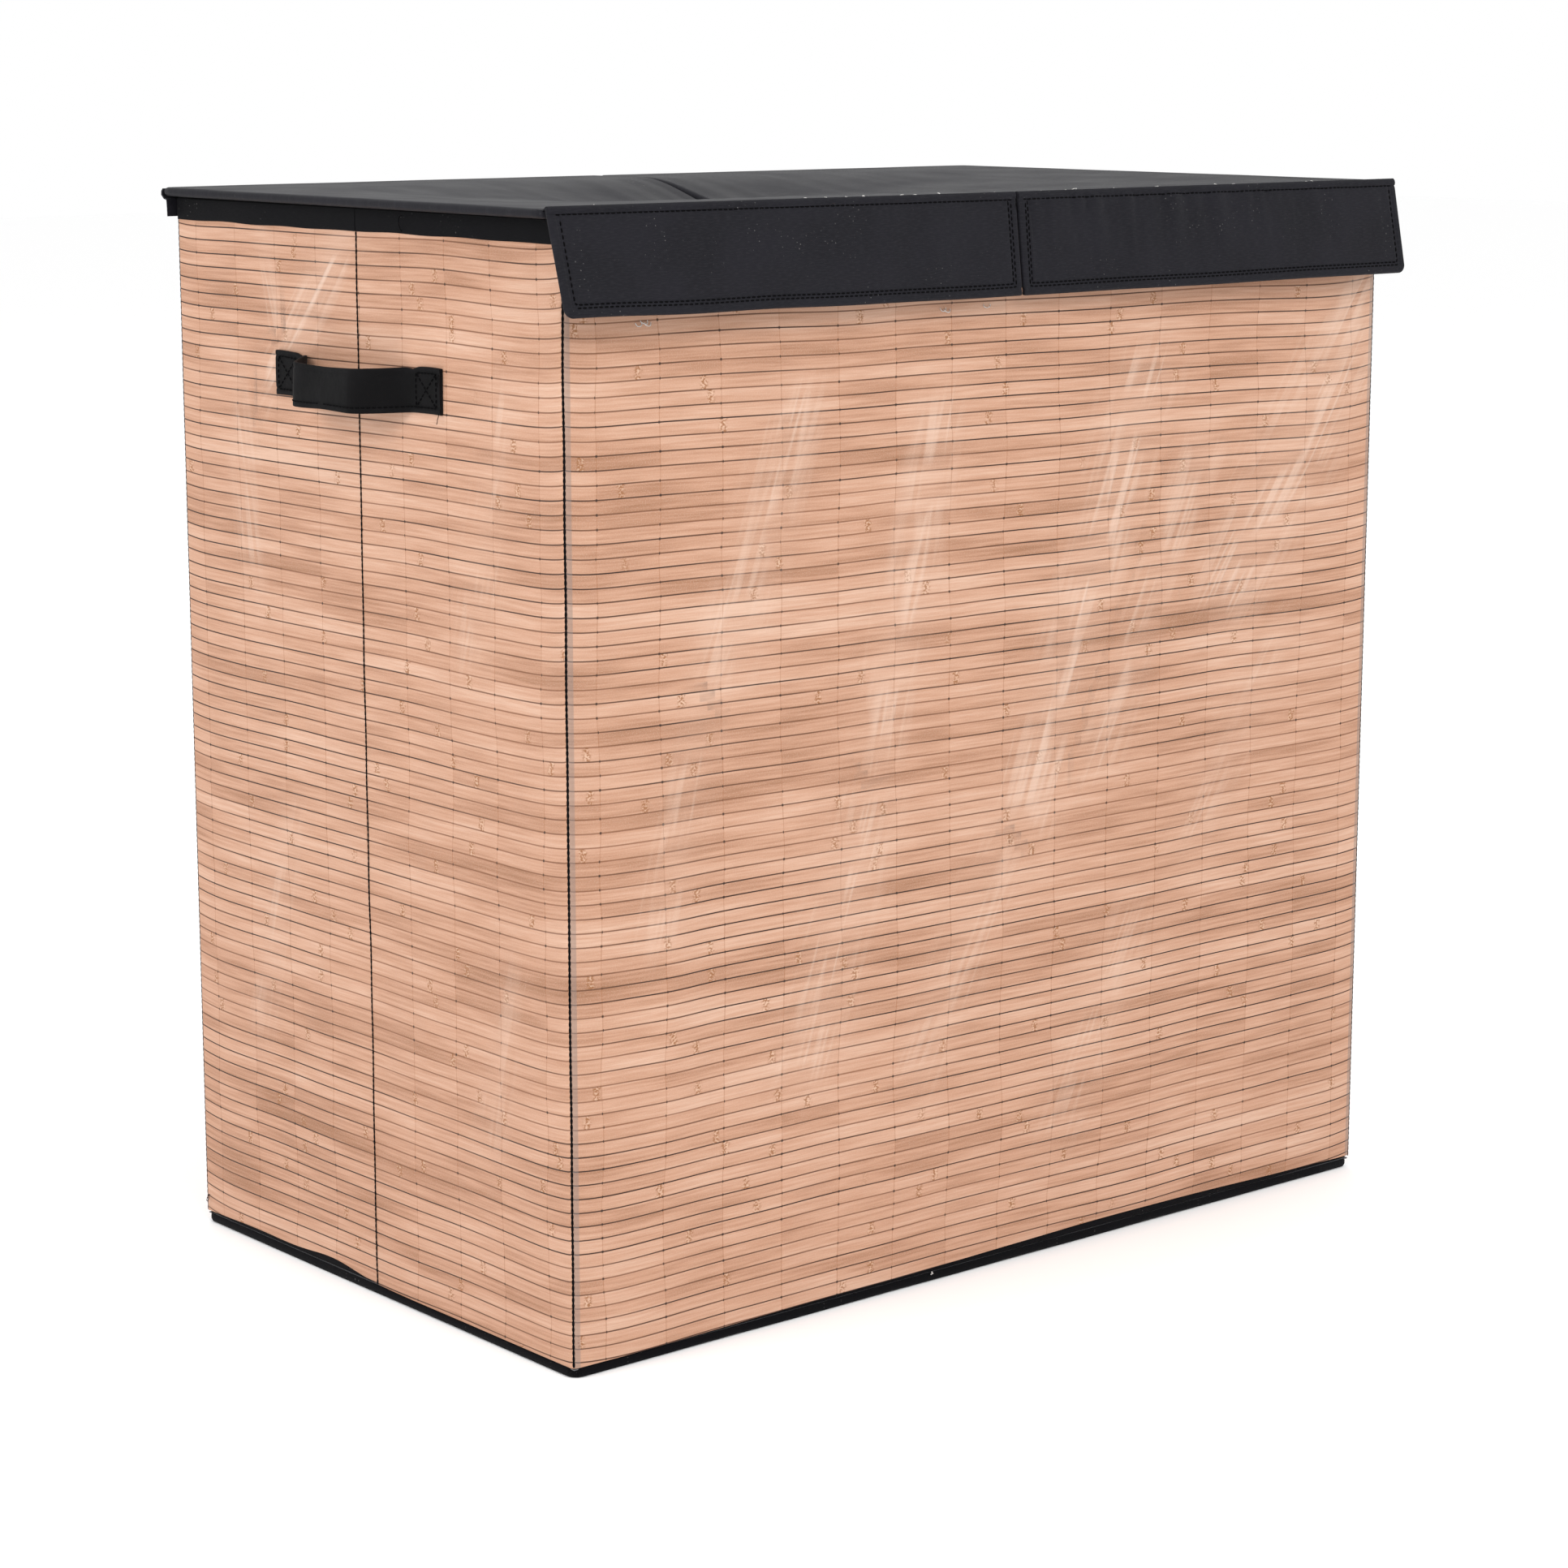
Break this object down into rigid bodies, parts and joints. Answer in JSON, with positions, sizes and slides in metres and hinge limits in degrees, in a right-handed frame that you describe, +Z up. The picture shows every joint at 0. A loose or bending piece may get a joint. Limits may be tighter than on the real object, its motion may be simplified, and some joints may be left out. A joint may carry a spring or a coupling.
{
  "type": "laundry hamper with lid",
  "caption": "Folding double laundry hamper: board-stiffened cloth walls printed as bamboo slats, black lid flaps with front valances, and a strap handle on each side.",
  "frame": {"origin": "middle of the base's underside, on the floor, at the middle of the walls' outside width and depth", "axes": "+X across the front to the right as a person faces it, +Y from the front to the rear, +Z up"},
  "size_m": [0.6492, 0.3842, 0.6036],
  "materials": {
    "printed_cloth": "woven polyester printed with bamboo slats",
    "black_cloth": "charcoal-black woven polyester with a low sheen",
    "lining_cloth": "matt grey non-woven lining",
    "board": "plain pressed board",
    "webbing": "folded and stitched black cloth strap",
    "closure_pad": "black nylon hook-and-loop tape",
    "thread": "black sewing thread",
    "light_thread": "off-white sewing thread"
  },
  "bodies": {
    "rear_wall": {"rear_wall_print": "printed_cloth", "rear_wall_board": "board", "rear_wall_lining": "lining_cloth", "rear_wall_binding": "black_cloth", "base_cover": "black_cloth", "base_board": "board", "base_lining": "lining_cloth", "divider": "lining_cloth", "left_hinge_tape": "black_cloth", "right_hinge_tape": "black_cloth"},
    "front_wall": {"front_wall_print": "printed_cloth", "front_wall_board": "board", "front_wall_lining": "lining_cloth", "front_wall_binding": "black_cloth", "loop_pads": "closure_pad"},
    "left_side_rear": {"left_rear_print": "printed_cloth", "left_rear_board": "board", "left_rear_lining": "lining_cloth", "left_rear_binding": "black_cloth", "left_handle": "webbing"},
    "left_side_front": {"left_front_print": "printed_cloth", "left_front_board": "board", "left_front_lining": "lining_cloth", "left_front_binding": "black_cloth"},
    "right_side_rear": {"right_rear_print": "printed_cloth", "right_rear_board": "board", "right_rear_lining": "lining_cloth", "right_rear_binding": "black_cloth", "right_handle": "webbing"},
    "right_side_front": {"right_front_print": "printed_cloth", "right_front_board": "board", "right_front_lining": "lining_cloth", "right_front_binding": "black_cloth"},
    "left_lid": {"left_lid_cover": "black_cloth", "left_lid_board": "board"},
    "left_valance": {"left_valance_cover": "black_cloth", "left_valance_board": "board", "left_hook_pads": "closure_pad"},
    "right_lid": {"right_lid_cover": "black_cloth", "right_lid_board": "board"},
    "right_valance": {"right_valance_cover": "black_cloth", "right_valance_board": "board", "right_hook_pads": "closure_pad"}
  },
  "joints": [
    {"name": "side_fold", "type": "hinge", "parent": "rear_wall", "child": "left_side_rear", "pos_m": [-0.296, 0.1754, 0], "axis": [0, 0, -1], "range_deg": [-86, 0], "deforming": ["divider"]},
    {"name": "left_middle_fold", "type": "hinge", "parent": "left_side_rear", "child": "left_side_front", "pos_m": [-0.3009, 0, 0], "axis": [0, 0, -1], "range_deg": [0, 172], "deforming": ["left_handle"]},
    {"name": "left_front_corner_fold", "type": "hinge", "parent": "left_side_front", "child": "front_wall", "pos_m": [-0.296, -0.1754, 0], "axis": [0, 0, -1], "range_deg": [-86, 0]},
    {"name": "right_rear_corner_fold", "type": "hinge", "parent": "rear_wall", "child": "right_side_rear", "pos_m": [0.296, 0.1754, 0], "axis": [0, 0, -1], "range_deg": [0, 86]},
    {"name": "right_middle_fold", "type": "hinge", "parent": "right_side_rear", "child": "right_side_front", "pos_m": [0.3009, 0, 0], "axis": [0, 0, -1], "range_deg": [-172, 0], "deforming": ["right_handle"]},
    {"name": "left_lid_hinge", "type": "hinge", "parent": "rear_wall", "child": "left_lid", "pos_m": [-0.15325, 0.188, 0.5984], "axis": [-1, 0, 0], "range_deg": [0, 262], "deforming": ["left_hinge_tape"]},
    {"name": "left_valance_fold", "type": "hinge", "parent": "left_lid", "child": "left_valance", "pos_m": [-0.15325, -0.1844, 0.603], "axis": [-1, 0, 0], "range_deg": [-9, 95]},
    {"name": "right_lid_hinge", "type": "hinge", "parent": "rear_wall", "child": "right_lid", "pos_m": [0.15325, 0.188, 0.5984], "axis": [-1, 0, 0], "range_deg": [0, 262], "deforming": ["right_hinge_tape"]},
    {"name": "right_valance_fold", "type": "hinge", "parent": "right_lid", "child": "right_valance", "pos_m": [0.15325, -0.1844, 0.603], "axis": [-1, 0, 0], "range_deg": [-9, 95]}
  ],
  "couplings": [
    {"joint": "left_middle_fold", "follows": "side_fold", "ratio": -2},
    {"joint": "left_front_corner_fold", "follows": "side_fold", "ratio": 1},
    {"joint": "right_rear_corner_fold", "follows": "side_fold", "ratio": -1},
    {"joint": "right_middle_fold", "follows": "side_fold", "ratio": 2}
  ]
}
